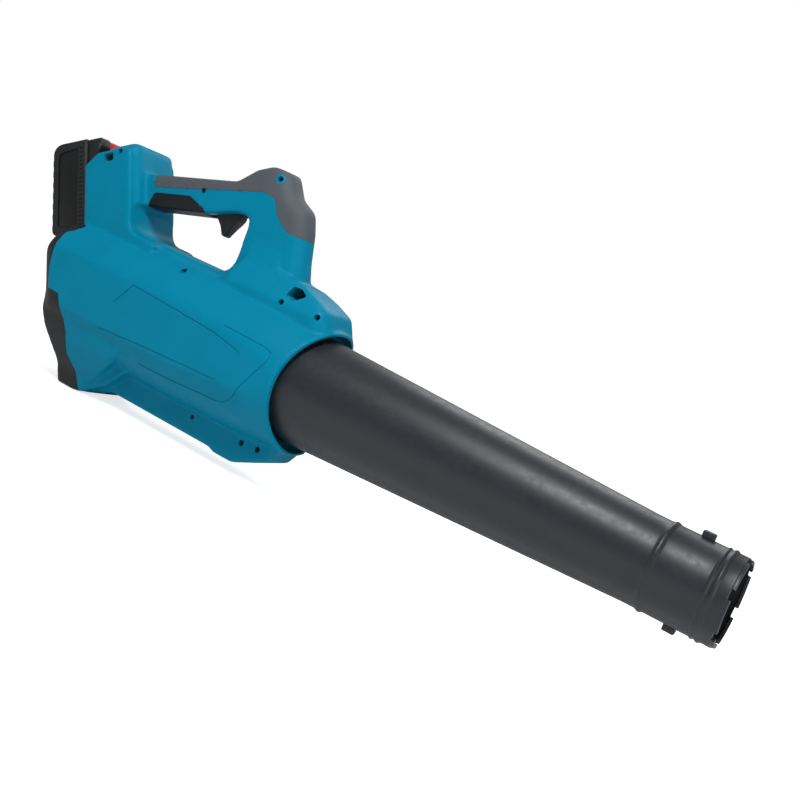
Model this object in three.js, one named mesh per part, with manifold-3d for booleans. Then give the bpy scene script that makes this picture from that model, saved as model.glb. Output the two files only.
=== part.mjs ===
// Cordless leaf blower, millimetres, +Z up, +X along the air tube to the nozzle, right side at -Y.
// Everything is drawn from the fan axis at the casing mouth, and the whole group is then put on the floor.
import * as THREE from "three";
import { mergeVertices } from "three/addons/utils/BufferGeometryUtils.js";
import Module from "manifold-3d";

// Fits
const GAP = 0.3; // between touching pieces
const SLIDE = 0.5; // round pieces that slide or turn

// Air tube and nozzle end
const TUBE_CONE = 400; // mouth to the end of the taper
const TUBE_COLLAR = 88; // straight accessory collar after it
const TUBE_BASE_R = 61.6;
const TUBE_END_R = 43.6;
const TUBE_WALL = 2.4;
const TUBE_TAIL = 22; // part of the tube behind the mouth
const BEAD = 1.6;
const BEAD_PLACES = [15, 71]; // from the end of the taper
const PIN_PLACE = 45;
const PIN = { length: 12, width: 9, height: 6 };

// Casing
const WALL = 2.8;
const BARREL_R = 79;
const BARREL_HALF_WIDTH = BARREL_R - 6; // the sides are flattened to this
const RIM_R = 71;
const MOUTH_ARC_R = 145; // the side view of the front edge
const MOUTH_WALL = 9;
const MOUTH_LIP = 18; // top of the front edge ahead of its middle
const REAR_LEAN = 27.3; // degrees, of the rear face, the tower and the battery
const FOOT_Z = -117;
const REAR_FOOT_X = -294;
const REAR_FACE_X = -299; // where the plane of the rear face would meet the floor
const KEEL_Z = -102;
const KEEL_HALF_WIDTH = 27;
const FOOT_HALF_WIDTH = 42;
const SEAM = 0.3; // between the two halves

// Rear window and its grille
const WINDOW_Z = -20;
const WINDOW_R = 44;
const GRILLE_BARS = 9;
const GRILLE_PITCH = 9.3;
const BAR = 1.4; // half thickness

// Battery tower, in the leaning frame: x ahead of the battery face, z along the slide
const SEAT = [-343.6, 57.2]; // bottom of the battery face, x and z
const TOWER_HALF_WIDTH = 43;
const TOWER_DEPTH = 70;
const TOWER_TOP = 93;

// Handle
const HANDLE_HALF_WIDTH = 20;
const HANDLE_ROUND = 9;
const NOSE_ROUND = 17; // front corners of the handle's post
const CROWN_HALF_WIDTH = 28; // the slightly raised top of the tower
const BLOCK_HALF_WIDTH = 38;
const SKIN = 2.6; // soft grip thickness
const GRIP_SLOPE = 15.7; // degrees, of the upper grip and of the trigger's slide
const TRIGGER_HALF_WIDTH = 8.5;
const TRIGGER_TOP = 153;
const TRIGGER_SLOT = [-211, -160]; // leaves room behind the trigger for its travel of 7
const SWITCH_AT = [-222, 144];

// Battery pack
const PACK_LENGTH = 115;
const PACK_WIDTH = 75;
const PACK_DEPTH = 53.6;
const PACK_LID = 4; // depth of the lid side of the case
const PACK_WALL = 2.4;
const RAIL_WEB = 23.5; // half widths
const RAIL_FLANGE = 28.5;
const RAIL_WEB_DEPTH = 6;
const RAIL_DEPTH = 11.5;
const BLADES_Y = [-9, 9];
const RAIL_FROM = 26;
const RAIL_TO = 98;
const BUTTON = { halfWidth: 19, from: 101, to: 115.5, back: 2.5, front: 18.5, travel: 3 };
const HOOD_HALF_WIDTH = 34.5;
const CELL_R = 9.1;
const CELL_LENGTH = 65;
const CELL_PITCH = 19.4;

// Fan, duct and motor
const DUCT_R = 58.4;
const DUCT_WALL = 2;
const DUCT_REAR = -200;
const FLANGE_X = -120;
const FAN_X = -182; // middle of the blades
const FAN_TIP_CLEARANCE = 1;
const HUB_R = 25;
const HUB_LENGTH = 26;
const BLADES = 9;
const BLADE_CHORD = 26;
const BLADE_PITCH = 38;
const VANES = 7;
const CUP_R = 25;
const CUP_WALL = 2;
const CUP_REAR = -164;
const CUP_FRONT = -96;
const CONE_LENGTH = 62;
const MOTOR_R = 21.5;
const MOTOR_LENGTH = 52;
const SHAFT_R = 2.5;
const BEARING_R = 8;
const BEARING_LENGTH = 5;

// Screws: x, z, half width of the casing there, hole radius
const barrelHalf = (z) => Math.sqrt(BARREL_R ** 2 - z ** 2);
const SCREWS = [
  [-335, 161, TOWER_HALF_WIDTH, 3.4],
  [-340, 61, barrelHalf(61), 3.4],
  [-180, 64, barrelHalf(64), 3.4],
  [-217, 156, HANDLE_HALF_WIDTH, 3.4],
  [-124, 201, HANDLE_HALF_WIDTH, 3.4],
  [-50, 78, BLOCK_HALF_WIDTH, 3.4],
  [-2, 79, BLOCK_HALF_WIDTH, 3.4],
  [-107, -81, KEEL_HALF_WIDTH, 2.6],
  [-35, -80, KEEL_HALF_WIDTH, 3.4],
  [-13, -78, KEEL_HALF_WIDTH, 3.4],
];
const BOSS_WALL = 2.2;
const SCREW_R = 1.7;
const SCREW_SINK = 9; // head below the outer face

const FAR = 600; // longer than the blower, for cuts that go right through
const rad = THREE.MathUtils.degToRad;
const lean = Math.tan(rad(REAR_LEAN));

const wasm = await Module();
wasm.setup();

// Each mesh gets a material of its own
const look = (color, roughness, metalness = 0) => () =>
  new THREE.MeshStandardMaterial({ color, roughness, metalness });
const teal = look(0x148cae, 0.42);
const black = look(0x26282c, 0.5);
const rubber = look(0x3c3b40, 0.75);
const red = look(0xc8141e, 0.4);
const steel = look(0xb4b6ba, 0.3, 1);
const copper = look(0xb87333, 0.35, 1);
const board = look(0x1d5b32, 0.5);
const wrap = look(0x2d6cc0, 0.45);
const glassy = look(0x33363b, 0.35);

// A three.js geometry as a manifold-3d solid.
function solid(geometry) {
  const g = geometry.index ? geometry.clone() : geometry;
  g.deleteAttribute("normal");
  g.deleteAttribute("uv");
  const merged = mergeVertices(g, 1e-4);
  const index = merged.index.array;
  const triVerts = [];
  for (let i = 0; i < index.length; i += 3) {
    const [a, b, c] = index.subarray(i, i + 3);
    if (a !== b && b !== c && c !== a) triVerts.push(a, b, c);
  }
  return new wasm.Manifold(
    new wasm.Mesh({
      numProp: 3,
      vertProperties: merged.attributes.position.array,
      triVerts: new Uint32Array(triVerts),
    }),
  );
}

// A manifold-3d solid back as a three.js geometry.
function geometryOf(manifold) {
  const { numProp, vertProperties, triVerts } = manifold.getMesh();
  const position = new Float32Array((vertProperties.length / numProp) * 3);
  for (let i = 0; i < position.length / 3; i++)
    position.set(vertProperties.subarray(i * numProp, i * numProp + 3), i * 3);
  const g = new THREE.BufferGeometry();
  g.setAttribute("position", new THREE.BufferAttribute(position, 3));
  g.setIndex(new THREE.BufferAttribute(triVerts, 1));
  return g;
}

const join = (pieces) => pieces.reduce((a, b) => a.add(b));
const cut = (body, pieces) => pieces.reduce((a, b) => a.subtract(b), body);

// The main body of a solid, without slivers where two surfaces meet
const mainBody = (s) => s.decompose().reduce((a, b) => (a.volume() > b.volume() ? a : b));

function box([x0, x1], [y0, y1], [z0, z1]) {
  const g = new THREE.BoxGeometry(x1 - x0, y1 - y0, z1 - z0);
  g.translate((x0 + x1) / 2, (y0 + y1) / 2, (z0 + z1) / 2);
  return solid(g);
}

// A cylinder along X or Y.
function rodX(r, x0, x1, y = 0, z = 0, sides = 32) {
  const g = new THREE.CylinderGeometry(r, r, x1 - x0, sides);
  g.rotateZ(-Math.PI / 2);
  g.translate((x0 + x1) / 2, y, z);
  return solid(g);
}
function rodY(r, y0, y1, x, z, sides = 16) {
  const g = new THREE.CylinderGeometry(r, r, y1 - y0, sides);
  g.translate(x, (y0 + y1) / 2, z);
  return solid(g);
}

// A closed profile of [x, radius] points turned about the X axis.
function turned(profile, sides = 48) {
  const closed = profile[0][1] > 0 ? [...profile, profile[0]] : profile;
  const g = new THREE.LatheGeometry(
    closed.map(([x, r]) => new THREE.Vector2(r, x)),
    sides,
  );
  g.rotateZ(-Math.PI / 2);
  const s = solid(g);
  return s.volume() < 0 ? solid(flipped(g)) : s;
}
function flipped(g) {
  const index = g.index.array;
  for (let i = 0; i < index.length; i += 3)
    [index[i + 1], index[i + 2]] = [index[i + 2], index[i + 1]];
  return g;
}

// The corners of an outline of [x, z] or [x, z, corner radius] points, anticlockwise and all set in.
function corners(points, inset = 0) {
  const flat = points.map(([x, z]) => new THREE.Vector2(x, z));
  const turn = Math.sign(THREE.ShapeUtils.area(flat));
  const list = turn < 0 ? [...points].reverse() : points;
  const at = (i) => new THREE.Vector2(...list.at(i % list.length).slice(0, 2));
  return list.map(([, , r], i) => {
    const here = at(i);
    const into = here.clone().sub(at(i - 1)).normalize();
    const on = at(i + 1).sub(here).normalize();
    const bend = into.cross(on);
    const inward = new THREE.Vector2(-into.y - on.y, into.x + on.x);
    const mitre = inward.multiplyScalar(inset / (1 + into.dot(on)));
    const radius = r === undefined ? undefined : Math.max(r - inset * Math.sign(bend), 0);
    return { at: here.add(mitre), radius };
  });
}

// The points of a cornered outline, its round corners in `steps` steps.
function ring(list, steps = 3) {
  return list.flatMap(({ at, radius }, i) => {
    if (radius === undefined) return [at];
    const back = list.at(i - 1).at.clone().sub(at);
    const on = list[(i + 1) % list.length].at.clone().sub(at);
    const half = Math.acos(back.dot(on) / (back.length() * on.length())) / 2;
    const trim = Math.min(radius / Math.tan(half), 0.48 * back.length(), 0.48 * on.length());
    const arc = new THREE.QuadraticBezierCurve(
      back.setLength(trim).add(at),
      at,
      on.setLength(trim).add(at),
    );
    return arc.getPoints(steps);
  });
}

// A solid between rings of the same number of points, each at its own y.
function lofted(rings) {
  const count = rings[0].points.length;
  const position = rings.flatMap(({ y, points }) => points.flatMap((p) => [p.x, y, p.y]));
  const index = [];
  for (let k = 0; k + 1 < rings.length; k++)
    for (let i = 0; i < count; i++) {
      const a = k * count + i;
      const b = k * count + ((i + 1) % count);
      index.push(a, b + count, b, a, a + count, b + count);
    }
  for (const [k, flip] of [[0, false], [rings.length - 1, true]]) {
    const points = rings[k].points;
    const kept = points.map((_, i) => i).filter((i) => points[i].distanceTo(points.at(i - 1)) > 1e-5);
    const faces = THREE.ShapeUtils.triangulateShape(kept.map((i) => points[i]), []);
    for (const [a, b, c] of faces.map((f) => f.map((i) => kept[i] + k * count)))
      index.push(...(flip ? [a, c, b] : [a, b, c]));
  }
  const g = new THREE.BufferGeometry();
  g.setAttribute("position", new THREE.Float32BufferAttribute(position, 3));
  g.setIndex(index);
  return solid(g);
}

// A side outline between two y values, with square edges.
const plate = (points, y0, y1, inset = 0) => {
  const flat = ring(corners(points, inset));
  return lofted([{ y: y0, points: flat }, { y: y1, points: flat }]);
};

// A side outline, thick each way about y = 0, its long edges rounded and all of it set in.
function slab(points, halfWidth, round = 0, inset = 0) {
  if (!round) return plate(points, inset - halfWidth, halfWidth - inset, inset);
  const steps = inset ? 1 : 2;
  const r = Math.max(round - inset, 0.5);
  const w = halfWidth - inset;
  const near = Array.from({ length: steps + 1 }, (_, k) => {
    const t = (1 - k / steps) * (Math.PI / 2);
    return { y: -w + r * (1 - Math.sin(t)), inset: inset + r * (1 - Math.cos(t)) };
  });
  const layers = [...near, ...near.map(({ y, inset: i }) => ({ y: -y, inset: i })).reverse()];
  return lofted(layers.map(({ y, inset: i }) => ({ y, points: ring(corners(points, i)) })));
}

// A point of the leaning frame in the blower's frame, and a solid moved the same way.
const leaning = ([x, z, r]) => {
  const c = Math.cos(rad(REAR_LEAN));
  const s = Math.sin(rad(REAR_LEAN));
  const p = [SEAT[0] + x * c - z * s, SEAT[1] + x * s + z * c];
  return r === undefined ? p : [...p, r];
};
const leanOver = (s) => s.rotate([0, -REAR_LEAN, 0]).translate([SEAT[0], 0, SEAT[1]]);

const rearAt = (z) => REAR_FACE_X - (z - FOOT_Z) * lean;

// Side outlines of the casing
const underPack = leaning([0, -2.5]);
const BARREL_SIDE = [
  leaning([-22, -2.5, 8]),
  [rearAt(24), 24, 30],
  [rearAt(-60), -60, 40],
  [-303, -92, 30],
  [REAR_FOOT_X, FOOT_Z, 3],
  [40, FOOT_Z],
  [40, 120],
  leaning([30, 60]),
  underPack,
];
const FOOT_SIDE = [
  [rearAt(-40), -40],
  [REAR_FOOT_X, FOOT_Z, 4],
  [-262, FOOT_Z, 16],
  [-226, -94, 16],
  [-196, -60],
  [-196, -40],
];
const KEEL_SIDE = [
  [rearAt(-50), -50],
  [REAR_FOOT_X, FOOT_Z, 4],
  [-262, FOOT_Z, 16],
  [-226, KEEL_Z, 16],
  [-74, KEEL_Z, 4],
  [-66, KEEL_Z - 3, 4],
  [-40, KEEL_Z - 3, 14],
  [4, -86, 6],
  [MOUTH_LIP - 6, -68, 4],
  [MOUTH_LIP - 6, -40],
];
const TOWER_SIDE = [
  [0, -2.5],
  [0, TOWER_TOP - 13],
  [20, TOWER_TOP, 4],
  [TOWER_DEPTH, TOWER_TOP, 12],
  [TOWER_DEPTH, -2, 24],
  [TOWER_DEPTH + 36, -34],
  [TOWER_DEPTH, -70],
  [14, -60],
].map(leaning);
const HANDLE_FRONT = [
  [-117, 212, 12],
  [-101, 190, 18],
  [-80, 180, 16],
  [-70, 158, 30],
  [-60, 126, 30],
  [-50, 102, 10],
  [-40, 60],
];
const HANDLE_SIDE = [
  [-330, 140],
  [-300, 150],
  [-182, 181, 14],
  [-161, 205, 16],
  [-142, 213, 16],
  ...HANDLE_FRONT,
  [-330, 60],
];
// The same front edge for the rounder front corners
const NOSE_SIDE = [
  [-400, 0],
  [-400, 260],
  [-140, 260],
  ...HANDLE_FRONT,
  [-40, 0],
];
const OPENING_SIDE = [
  leaning([TOWER_DEPTH, 25, 6]),
  [leaning([TOWER_DEPTH, 0])[0] + 4, 79, 20],
  [-137, 79, 24],
  [-135, 150, 22],
  [-167, 147, 12],
  [-199, 134, 8],
];
const BLOCK_SIDE = [
  [-165, 60],
  [-140, 79, 6],
  [-128, 100, 10],
  [-124, 140, 10],
  [-90, 140, 10],
  [-80, 108, 8],
  [-50, 104, 6],
  [-38, 103, 8],
  [-18, 97, 8],
  [4, 88, 10],
  [MOUTH_LIP - 4, 70, 6],
  [MOUTH_LIP - 4, 40],
  [-165, 40],
];
// Its section across the blower, as y and z
const BLOCK_SECTION = [
  [-BLOCK_HALF_WIDTH, 30],
  [-BLOCK_HALF_WIDTH, 77],
  [-31, 90],
  [-24, 104],
  [-HANDLE_HALF_WIDTH, 128],
  [-HANDLE_HALF_WIDTH, 150],
  [HANDLE_HALF_WIDTH, 150],
  [HANDLE_HALF_WIDTH, 128],
  [24, 104],
  [31, 90],
  [BLOCK_HALF_WIDTH, 77],
  [BLOCK_HALF_WIDTH, 30],
];
const CROWN_SIDE = [
  [26, TOWER_TOP - 8],
  [30, TOWER_TOP + 4, 4],
  [TOWER_DEPTH - 3, TOWER_TOP + 4, 12],
  [TOWER_DEPTH - 3, TOWER_TOP - 20],
  [26, TOWER_TOP - 20],
].map(leaning);
// The part of the handle that the soft upper grip covers
const UPPER_GRIP_SIDE = [
  [-297, 134],
  [-232, 152.5],
  [-140, 180, 10],
  [-122, 180, 10],
  [-107, 160, 12],
  [-88, 148.5, 8],
  [-40, 148.5],
  [-40, 230],
  [-300, 230],
];
const LOWER_GRIP_SIDE = [
  [-292, 129.5, 6],
  [-232, 144, 8],
  [-206, 137, 6],
  [-196, 110],
  [-300, 90],
  [-300, 118, 4],
];
const TRIGGER_SIDE = [
  [-203, 146],
  [-196, 136, 3],
  [-186, 126, 8],
  [-181, 116.5, 3],
  [-175.5, 115.5, 3],
  [-170.5, 129, 10],
  [-164.5, 141],
  [-164.5, TRIGGER_TOP],
  [-203, TRIGGER_TOP],
];
// Its section across the blower, as y and z: narrower at the tip
const TRIGGER_SECTION = [
  [-4, 110],
  [-6.5, 124],
  [-TRIGGER_HALF_WIDTH, 134],
  [-TRIGGER_HALF_WIDTH, 170],
  [TRIGGER_HALF_WIDTH, 170],
  [TRIGGER_HALF_WIDTH, 134],
  [6.5, 124],
  [4, 110],
];
// The part of the body that the rear cover takes
const COVER_SIDE = [
  [-349, 56],
  [-347, 36, 20],
  [-343, 4, 20],
  [-334, -18, 4],
  [-315, -18, 5],
  [-291, -52, 20],
  [-275, -78, 14],
  [-270, -94, 10],
  [-273, FOOT_Z - 20],
  [-440, FOOT_Z - 20],
  [-440, 56],
];

const frontCut = () =>
  rodY(MOUTH_ARC_R, -FAR, FAR, MOUTH_ARC_R, 0, 96).add(
    box([MOUTH_LIP, FAR], [-FAR, FAR], [-MOUTH_ARC_R, MOUTH_ARC_R]),
  );

// A section of y and z points drawn right along the blower
const across = (section, inset = 0) => slab(section, FAR, 0, inset).rotate([0, 0, 90]);

const handle = (inset = 0) =>
  slab(HANDLE_SIDE, HANDLE_HALF_WIDTH, HANDLE_ROUND, inset).intersect(
    slab(NOSE_SIDE, HANDLE_HALF_WIDTH, NOSE_ROUND, inset),
  );

// The whole outside of the body, or the same set in by a wall.
function bodySolid(inset = 0) {
  const barrel = turned(
    [
      [-FAR, 0],
      [-FAR, BARREL_R - inset],
      [-140, BARREL_R - inset],
      [-40, BARREL_R - 2.5 - inset],
      [0, RIM_R + 2 - inset],
      [40, RIM_R - inset],
      [40, 0],
    ],
    64,
  ).intersect(slab(BARREL_SIDE, BARREL_HALF_WIDTH, 8, inset));
  const parts = [
    barrel,
    slab(KEEL_SIDE, KEEL_HALF_WIDTH, 4, inset),
    slab(FOOT_SIDE, FOOT_HALF_WIDTH, 7, inset),
    slab(TOWER_SIDE, TOWER_HALF_WIDTH, 9, inset),
    slab(CROWN_SIDE, CROWN_HALF_WIDTH, 5, inset),
    slab(BLOCK_SIDE, BLOCK_HALF_WIDTH, 0, inset).intersect(across(BLOCK_SECTION, inset)),
    handle(inset && inset + SKIN + GAP),
  ];
  const front = inset ? box([-MOUTH_WALL, FAR], [-FAR, FAR], [-FAR, FAR]) : frontCut();
  return cut(join(parts), [front, slab(OPENING_SIDE, 60, 0, inset && -inset - SKIN - GAP)]);
}

const outside = bodySolid();
const inside = bodySolid(WALL);
const handleSkin = (depth) =>
  handle().subtract(handle(depth).subtract(slab(OPENING_SIDE, 60, 0, -depth)));

// Scene graph
const blower = new THREE.Group();
blower.name = "leaf_blower";

function add(name, shape, material) {
  const mesh = new THREE.Mesh(geometryOf(shape), material());
  mesh.name = name;
  blower.add(mesh);
  return mesh;
}

const sides = [
  { name: "right", sign: -1 },
  { name: "left", sign: 1 },
];
const sideOf = (sign, gap = SEAM / 2) =>
  box([-FAR, FAR], sign < 0 ? [-FAR, -gap] : [gap, FAR], [-FAR, FAR]);

// Channel for the pack's rails in the leaning frame
const channelBlock = () =>
  leanOver(box([0.5, RAIL_DEPTH + 4], [-RAIL_FLANGE - 4, RAIL_FLANGE + 4], [2, TOWER_TOP - 8]));
const channelCut = () =>
  leanOver(
    join([
      box([-5, RAIL_DEPTH], [-RAIL_WEB - SLIDE, RAIL_WEB + SLIDE], [6, 200]),
      box(
        [RAIL_WEB_DEPTH - SLIDE, RAIL_DEPTH + SLIDE],
        [-RAIL_FLANGE - SLIDE, RAIL_FLANGE + SLIDE],
        [6, 200],
      ),
      ...BLADES_Y.map((y) => box([RAIL_DEPTH, RAIL_DEPTH + 6], [y - 1.2, y + 1.2], [8, 26])),
      box([-5, 22], [-HOOD_HALF_WIDTH - 1.5, HOOD_HALF_WIDTH + 1.5], [TOWER_TOP - 8, 200]),
    ]),
  );

const bosses = () =>
  SCREWS.map(([x, z, w, r]) => rodY(r + BOSS_WALL, -w + 1, w - 1, x, z));
const screwHoles = (sign) =>
  SCREWS.flatMap(([x, z, w, r]) =>
    sign < 0
      ? [
          rodY(r, -w - 40, -w + SCREW_SINK + 4, x, z),
          rodY(SCREW_R + GAP, -w, GAP, x, z, 12),
        ]
      : [rodY(SCREW_R + GAP, -GAP, w - 8, x, z, 12)],
  );

const triggerSlot = () =>
  box(TRIGGER_SLOT, [-TRIGGER_HALF_WIDTH - SLIDE, TRIGGER_HALF_WIDTH + SLIDE], [112, TRIGGER_TOP + 4]);
const strapSlots = () => [
  leanOver(box([31, 45], [-FAR, FAR], [TOWER_TOP - 14, TOWER_TOP - 4])),
  plate([[-51, 87], [-38, 84], [-27, 94], [-37, 99], [-48, 99]], -FAR, FAR),
];
const strapWalls = () => [
  leanOver(box([28.5, 47.5], [-40, 40], [TOWER_TOP - 16.5, TOWER_TOP - 1])),
  plate([[-54, 84], [-38, 81], [-23, 93], [-36, 103], [-52, 103]], -36, 36),
];

function casing() {
  const shell = outside.subtract(inside);
  const ribs = join([...bosses(), channelBlock(), ...strapWalls()]).intersect(outside);
  const cover = plate(COVER_SIDE, -FAR, FAR);
  const grips = join([
    slab(UPPER_GRIP_SIDE, 60, 0, -GAP).intersect(handleSkin(SKIN + GAP)),
    slab(LOWER_GRIP_SIDE, 60, 0, -GAP).intersect(handleSkin(SKIN + GAP)),
  ]);
  const whole = cut(shell.add(ribs), [
    cover,
    grips,
    channelCut(),
    triggerSlot(),
    rodX(TUBE_BASE_R + GAP, -MOUTH_WALL - 1, FAR, 0, 0, 96),
    rodX(DUCT_R + 3, -FAR, -MOUTH_WALL + 1, 0, 0, 64),
    ...strapSlots(),
  ]);
  for (const { name, sign } of sides)
    add("casing_" + name, mainBody(cut(whole, screwHoles(sign)).intersect(sideOf(sign))), teal);
}

function grips() {
  const cap = handleSkin(SKIN);
  const holes = SCREWS.slice(3, 5).map(([x, z, w, r]) => rodY(r + BOSS_WALL + GAP, -w - 5, w + 5, x, z));
  const keepOut = cut(plate([[-330, 60], [-60, 60], [-60, 240], [-330, 240]], -60, 60), [
    slab(OPENING_SIDE, 59, 0, 0),
    slab(TOWER_SIDE, TOWER_HALF_WIDTH + 1, 9, -GAP),
  ]);
  for (const { name, sign } of sides) {
    const upper = plate(UPPER_GRIP_SIDE, -FAR, FAR);
    const lower = plate(LOWER_GRIP_SIDE, -FAR, FAR);
    for (const [label, region] of [["upper", upper], ["lower", lower]])
      add(
        label + "_grip_" + name,
        cut(cap.intersect(region).intersect(keepOut), [...holes, triggerSlot()]).intersect(sideOf(sign)),
        rubber,
      );
  }
}

// Rear cover and the grille that fills its window, both in the plane of the leaning rear face
const onRear = (s) => s.rotate([0, -REAR_LEAN, 0]).translate([rearAt(WINDOW_Z), 0, WINDOW_Z]);

function rearCover() {
  const region = slab(COVER_SIDE, FAR / 2, 0, GAP);
  const dish = outside.subtract(inside).intersect(region);
  add("rear_cover", cut(dish, [onRear(rodX(WINDOW_R, -20, 20, 0, 0, 48))]), black);
  const bars = Array.from({ length: GRILLE_BARS }, (_, i) => {
    const z = (i - (GRILLE_BARS - 1) / 2) * GRILLE_PITCH;
    return box([0.6, 3], [-WINDOW_R, WINDOW_R], [z - BAR, z + BAR]);
  });
  const mullions = [-WINDOW_R / 2, 0, WINDOW_R / 2].map((y) =>
    box([0.6, 3.6], [y - BAR, y + BAR], [-WINDOW_R, WINDOW_R]),
  );
  const disc = rodX(WINDOW_R - GAP, 0.4, 3.6, 0, 0, 48);
  const hoop = disc.subtract(rodX(WINDOW_R - 3.5, 0, 4, 0, 0, 48));
  const grid = join([...bars, ...mullions]).intersect(disc);
  add("inlet_grille", onRear(hoop.add(grid)), black);
}

function tube() {
  const outer = (x) => TUBE_BASE_R + (TUBE_END_R - TUBE_BASE_R) * (x / TUBE_CONE);
  const end = TUBE_CONE + TUBE_COLLAR;
  const beads = BEAD_PLACES.map((x) => TUBE_CONE + x).flatMap((x) => [
    [x - 3, TUBE_END_R],
    [x - 1, TUBE_END_R + BEAD],
    [x + 1, TUBE_END_R + BEAD],
    [x + 3, TUBE_END_R],
  ]);
  const wall = turned([
    [-TUBE_TAIL, TUBE_BASE_R - 0.6],
    [-MOUTH_WALL - 7, TUBE_BASE_R - 0.6],
    [-MOUTH_WALL - 7, TUBE_BASE_R + 5],
    [-MOUTH_WALL - SLIDE, TUBE_BASE_R + 5],
    [-MOUTH_WALL - SLIDE, TUBE_BASE_R - 0.6],
    [0, outer(0)],
    [TUBE_CONE, outer(TUBE_CONE)],
    ...beads,
    [end, TUBE_END_R],
    [end, TUBE_END_R - TUBE_WALL],
    [TUBE_CONE, outer(TUBE_CONE) - TUBE_WALL],
    [0, outer(0) - TUBE_WALL],
    [-TUBE_TAIL, outer(0) - TUBE_WALL],
  ]);
  const pins = [1, -1].map((up) => {
    const from = TUBE_END_R - 1;
    const to = TUBE_END_R + PIN.height;
    return box(
      [TUBE_CONE + PIN_PLACE - PIN.length / 2, TUBE_CONE + PIN_PLACE + PIN.length / 2],
      [-PIN.width / 2, PIN.width / 2],
      up > 0 ? [from, to] : [-to, -from],
    );
  });
  add("air_tube", join([wall, ...pins]), black);
}

function duct() {
  const inner = DUCT_R - DUCT_WALL;
  const wall = turned([
    [DUCT_REAR, DUCT_R + 6],
    [DUCT_REAR, DUCT_R + 3],
    [DUCT_REAR + 12, inner],
    [0, inner],
    [0, DUCT_R],
    [FLANGE_X + 2, DUCT_R],
    [FLANGE_X + 2, BARREL_HALF_WIDTH - WALL - GAP],
    [FLANGE_X - 2, BARREL_HALF_WIDTH - WALL - GAP],
    [FLANGE_X - 2, DUCT_R],
    [DUCT_REAR + 12, DUCT_R],
  ]);
  const cup = turned([
    [CUP_REAR, CUP_R],
    [CUP_REAR, CUP_R - CUP_WALL],
    [CUP_FRONT - CUP_WALL, CUP_R - CUP_WALL],
    [CUP_FRONT - CUP_WALL, BEARING_R + 4],
    [CUP_FRONT, BEARING_R + 4],
    [CUP_FRONT, CUP_R],
  ], 36);
  const vane = box([CUP_REAR + 8, CUP_FRONT - 4], [-1, 1], [CUP_R - 1, inner + 1]);
  const vanes = Array.from({ length: VANES }, (_, i) => vane.rotate([((i + 0.5) * 360) / VANES, 0, 0]));
  add("fan_duct", join([wall, cup, ...vanes]), black);
  add(
    "tail_cone",
    turned([
      [CUP_FRONT + GAP, 0],
      [CUP_FRONT + GAP, CUP_R],
      [CUP_FRONT + CONE_LENGTH * 0.5, CUP_R * 0.78],
      [CUP_FRONT + CONE_LENGTH * 0.85, CUP_R * 0.4],
      [CUP_FRONT + CONE_LENGTH, 0],
    ], 36),
    black,
  );
}

function fan() {
  const tip = DUCT_R - DUCT_WALL - FAN_TIP_CLEARANCE;
  const rear = FAN_X - HUB_LENGTH / 2;
  const front = FAN_X + HUB_LENGTH / 2;
  const hub = turned([
    [rear, SHAFT_R + 0.2],
    [rear, HUB_R - 1],
    [rear + 2, HUB_R],
    [front, HUB_R],
    [front, HUB_R - 2.4],
    [rear + 8, HUB_R - 2.4],
    [rear + 8, SHAFT_R + 5],
    [front - 6, SHAFT_R + 5],
    [front - 6, SHAFT_R + 0.2],
  ], 36);
  const blade = box([-BLADE_CHORD / 2, BLADE_CHORD / 2], [-0.9, 0.9], [HUB_R - 1, tip + 4])
    .rotate([0, 0, BLADE_PITCH])
    .translate([FAN_X, 0, 0]);
  const ringR = rodX(tip, FAN_X - BLADE_CHORD, FAN_X + BLADE_CHORD, 0, 0, 48);
  const blades = Array.from({ length: BLADES }, (_, i) => blade.rotate([(i * 360) / BLADES, 0, 0]));
  add("fan", join([hub, ...blades.map((b) => b.intersect(ringR))]), black);
  add(
    "fan_nose",
    turned([
      [rear - 22, 0],
      [rear - 19, HUB_R * 0.5],
      [rear - 10, HUB_R * 0.88],
      [rear - GAP, HUB_R],
      [rear - GAP, 9],
      [rear - 9, 9],
      [rear - 9, 0],
    ], 36),
    black,
  );
  const bore = rodX(SHAFT_R + GAP, rear - FAR, rear, 0, 0, 20);
  add("fan_nut", rodX(5, rear - 5, rear - GAP, 0, 0, 6).subtract(bore), steel);
}

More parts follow.
